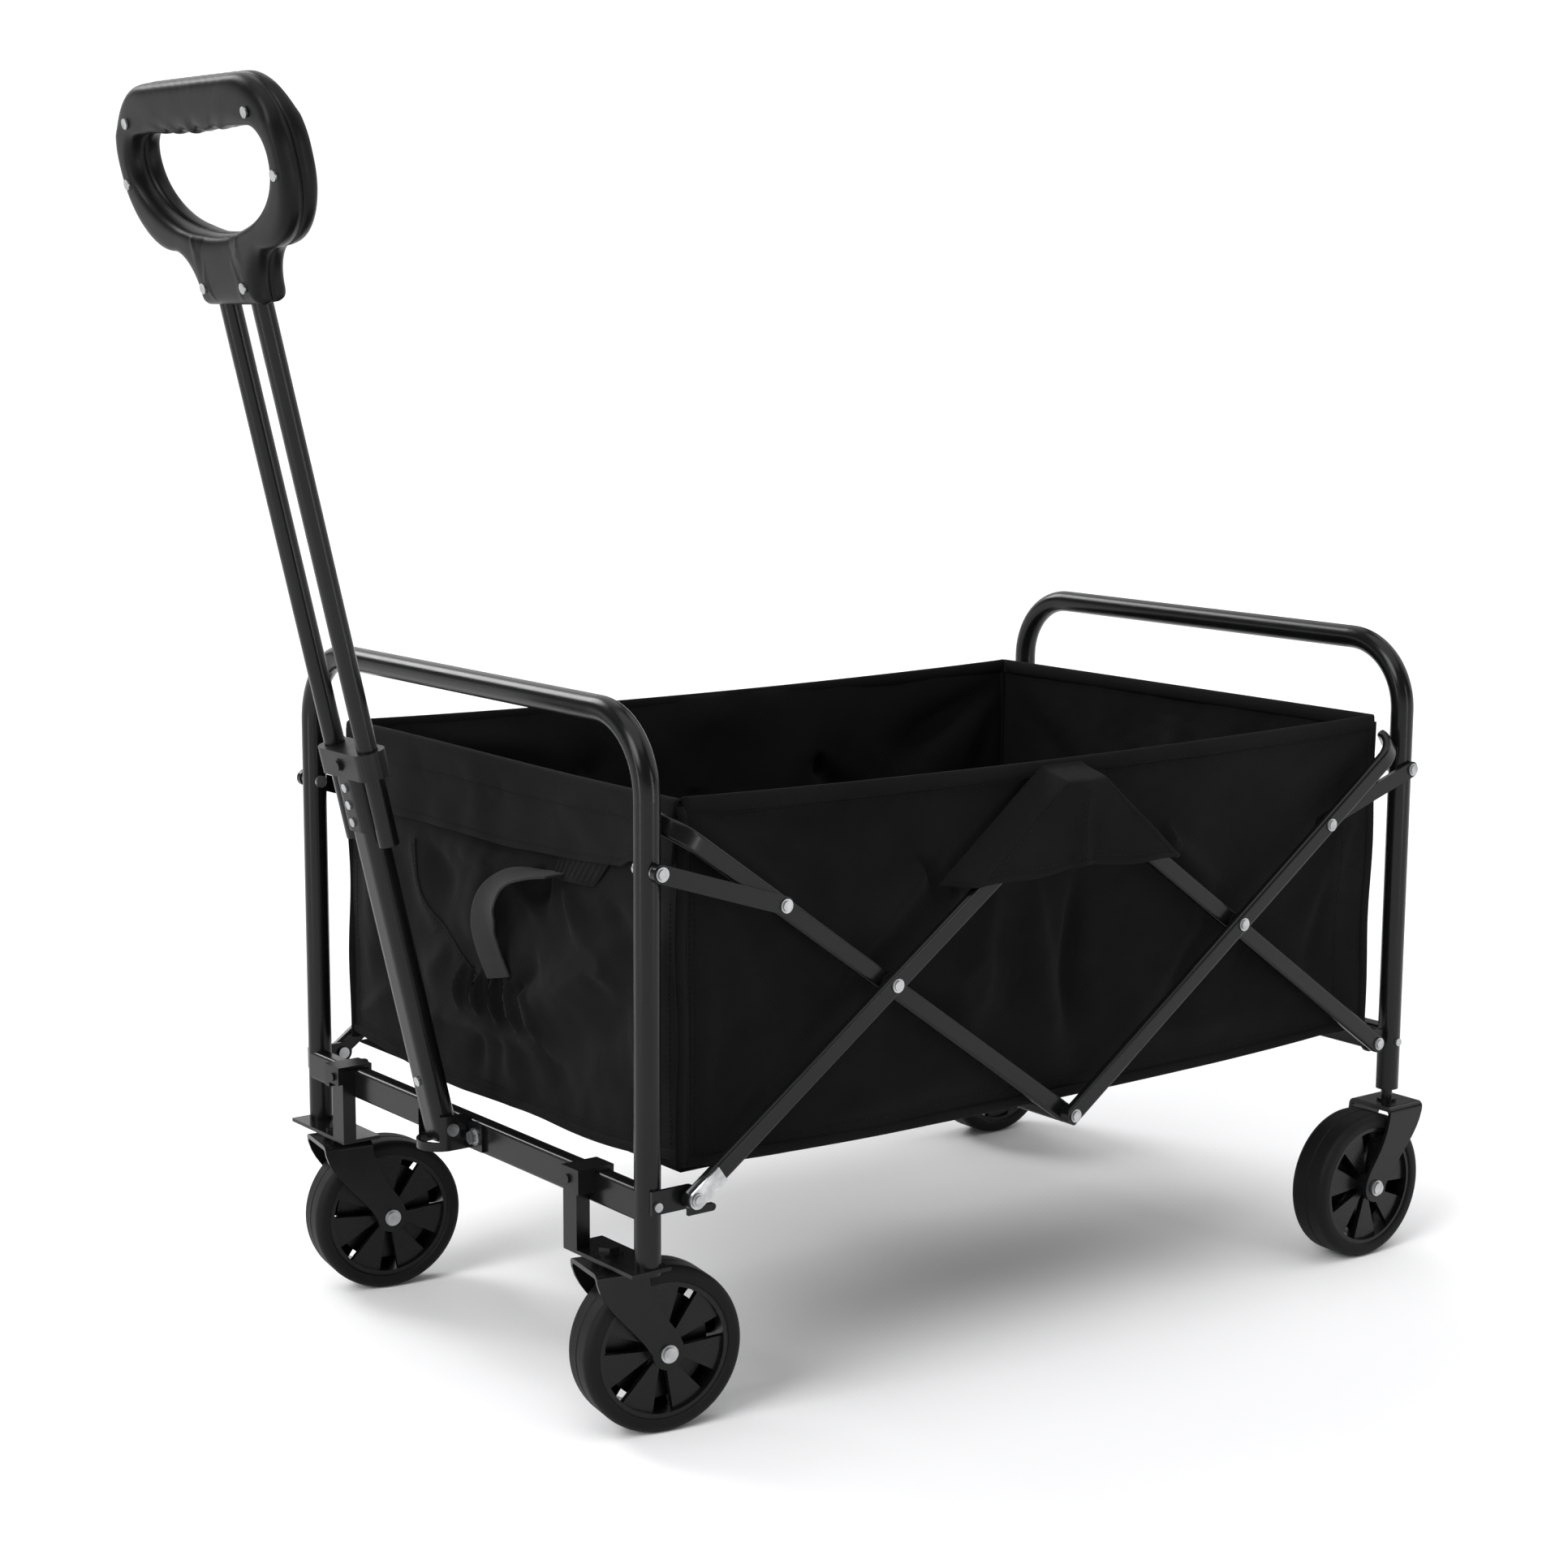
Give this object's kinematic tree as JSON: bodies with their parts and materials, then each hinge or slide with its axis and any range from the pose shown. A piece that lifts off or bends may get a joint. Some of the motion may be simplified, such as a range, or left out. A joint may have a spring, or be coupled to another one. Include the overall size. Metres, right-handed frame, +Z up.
{
  "type": "folding shopping trolley",
  "caption": "Folding four-wheeled shopping trolley with a black fabric basket, scissor sides, swivel front casters and a telescopic pull handle.",
  "frame": {"origin": "on the ground under the middle of the trolley's whole box", "axes": "+X forward to the pull handle, +Y left, +Z up"},
  "size_m": [1.072, 0.551, 1.0001],
  "materials": {
    "black_steel": "satin black powder coat",
    "zinc_steel": "bright zinc",
    "bare_steel": "bare flattened steel",
    "black_plastic": "moulded satin black",
    "grip_plastic": "moulded satin black",
    "wheel_plastic": "moulded satin black",
    "tyre_rubber": "matt rubber",
    "basket_fabric": "matt black woven polyester",
    "webbing": "matt black woven webbing"
  },
  "bodies": {
    "front_section": {"front_frame": "black_steel", "front_crossbar": "black_steel", "front_drop_frames": "black_steel", "drop_tube_clamps": "black_plastic", "front_hinge_brackets": "black_steel", "front_rivets": "zinc_steel", "front_kingpins": "black_steel", "handle_bracket": "black_steel", "handle_bracket_bolts": "zinc_steel", "handle_pivot_pin": "zinc_steel", "basket_front_panel": "basket_fabric", "basket_sides": "basket_fabric", "basket_floor": "basket_fabric", "basket_flaps": "basket_fabric", "front_strap": "webbing"},
    "handle": {"handle_lower_tube": "black_steel", "handle_sleeve": "black_plastic", "sleeve_rivets": "zinc_steel"},
    "grip_slide": {"handle_rods": "black_steel", "grip_front_shell": "grip_plastic", "grip_rear_shell": "grip_plastic", "grip_screws": "zinc_steel"},
    "button": {"lock_button": "black_plastic"},
    "front_left_caster": {"front_left_fork": "black_steel", "front_left_axle": "zinc_steel"},
    "front_right_caster": {"front_right_fork": "black_steel", "front_right_axle": "zinc_steel"},
    "front_left_wheel": {"front_left_rim": "wheel_plastic", "front_left_tyre": "tyre_rubber"},
    "front_right_wheel": {"front_right_rim": "wheel_plastic", "front_right_tyre": "tyre_rubber"},
    "front_rising_arms": {"front_rising_arm_left": "black_steel", "front_rising_arm_right": "black_steel", "front_arm_lugs": "bare_steel", "front_arm_rivets": "zinc_steel", "front_arm_spacers": "black_plastic"},
    "front_falling_arms": {"front_falling_arm_left": "black_steel", "front_falling_arm_right": "black_steel", "middle_cross_tube": "black_steel"},
    "rear_falling_arms": {"rear_falling_arm_left": "black_steel", "rear_falling_arm_right": "black_steel"},
    "rear_rising_arms": {"rear_rising_arm_left": "black_steel", "rear_rising_arm_right": "black_steel", "rear_arm_rivets": "zinc_steel", "rear_arm_spacers": "black_plastic"},
    "front_link_pair": {"front_links": "black_steel", "front_link_rivets": "zinc_steel"},
    "rear_link_pair": {"rear_links": "black_steel"},
    "rear_section": {"rear_frame": "black_steel", "rear_crossbar": "black_steel", "rear_hinge_brackets": "black_steel", "rear_fasteners": "zinc_steel", "rear_stems": "black_steel", "rear_forks": "black_steel", "rear_axles": "zinc_steel", "basket_rear_panel": "basket_fabric"},
    "rear_left_wheel": {"rear_left_rim": "wheel_plastic", "rear_left_tyre": "tyre_rubber"},
    "rear_right_wheel": {"rear_right_rim": "wheel_plastic", "rear_right_tyre": "tyre_rubber"}
  },
  "joints": [
    {"name": "fold", "type": "hinge", "parent": "front_section", "child": "front_rising_arms", "pos_m": [0.27518, 0, 0.193], "axis": [0, 1, 0], "range_deg": [0, 43.6], "deforming": ["basket_sides", "basket_floor", "basket_flaps"]},
    {"name": "front_cross", "type": "hinge", "parent": "front_rising_arms", "child": "front_falling_arms", "pos_m": [0.08607, 0, 0.32739], "axis": [0, 1, 0], "range_deg": [-87.3, 0]},
    {"name": "peak", "type": "hinge", "parent": "front_rising_arms", "child": "rear_falling_arms", "pos_m": [-0.10304, 0, 0.46179], "axis": [0, 1, 0], "range_deg": [-87.3, 0]},
    {"name": "rear_cross", "type": "hinge", "parent": "rear_falling_arms", "child": "rear_rising_arms", "pos_m": [-0.29215, 0, 0.32739], "axis": [0, 1, 0], "range_deg": [0, 87.3]},
    {"name": "rear_hinge", "type": "hinge", "parent": "rear_falling_arms", "child": "rear_section", "pos_m": [-0.48126, 0, 0.193], "axis": [0, 1, 0], "range_deg": [0, 43.7]},
    {"name": "front_link_hinge", "type": "hinge", "parent": "front_section", "child": "front_link_pair", "pos_m": [0.30296, 0, 0.43806], "axis": [0, 1, 0], "range_deg": [0, 84.4]},
    {"name": "rear_link_hinge", "type": "hinge", "parent": "rear_section", "child": "rear_link_pair", "pos_m": [-0.50904, 0, 0.43806], "axis": [0, 1, 0], "range_deg": [-84.4, 0]},
    {"name": "handle_tilt", "type": "hinge", "parent": "front_section", "child": "handle", "pos_m": [0.33096, 0, 0.197], "axis": [0, 1, 0], "range_deg": [-12, 70]},
    {"name": "handle_slide", "type": "slide", "parent": "handle", "child": "grip_slide", "axis": [0.2317, 0, 0.9728], "range_m": [-0.22, 0]},
    {"name": "button_press", "type": "slide", "parent": "handle", "child": "button", "axis": [-0.9728, 0, 0.2317], "range_m": [0, 0.0025], "stiffness_N_per_m": 300},
    {"name": "front_left_swivel", "type": "hinge", "parent": "front_section", "child": "front_left_caster", "pos_m": [0.30896, 0.205, 0.135], "axis": [0, 0, 1], "continuous": true},
    {"name": "front_left_spin", "type": "hinge", "parent": "front_left_caster", "child": "front_left_wheel", "pos_m": [0.27153, 0.2116, 0.065], "axis": [0.1736, 0.9848, 0], "continuous": true},
    {"name": "rear_left_spin", "type": "hinge", "parent": "rear_section", "child": "rear_left_wheel", "pos_m": [-0.47104, 0.247, 0.065], "axis": [0, 1, 0], "continuous": true},
    {"name": "front_right_swivel", "type": "hinge", "parent": "front_section", "child": "front_right_caster", "pos_m": [0.30896, -0.205, 0.135], "axis": [0, 0, 1], "continuous": true},
    {"name": "front_right_spin", "type": "hinge", "parent": "front_right_caster", "child": "front_right_wheel", "pos_m": [0.27153, -0.1984, 0.065], "axis": [0.1736, 0.9848, 0], "continuous": true},
    {"name": "rear_right_spin", "type": "hinge", "parent": "rear_section", "child": "rear_right_wheel", "pos_m": [-0.47104, -0.247, 0.065], "axis": [0, 1, 0], "continuous": true}
  ],
  "couplings": [
    {"joint": "front_cross", "follows": "fold", "ratio": -2},
    {"joint": "peak", "follows": "fold", "ratio": -2},
    {"joint": "rear_cross", "follows": "fold", "ratio": 2},
    {"joint": "rear_hinge", "follows": "fold", "ratio": 1},
    {"joint": "front_link_hinge", "follows": "fold", "ratio": 1.9322},
    {"joint": "rear_link_hinge", "follows": "fold", "ratio": -1.9322}
  ]
}
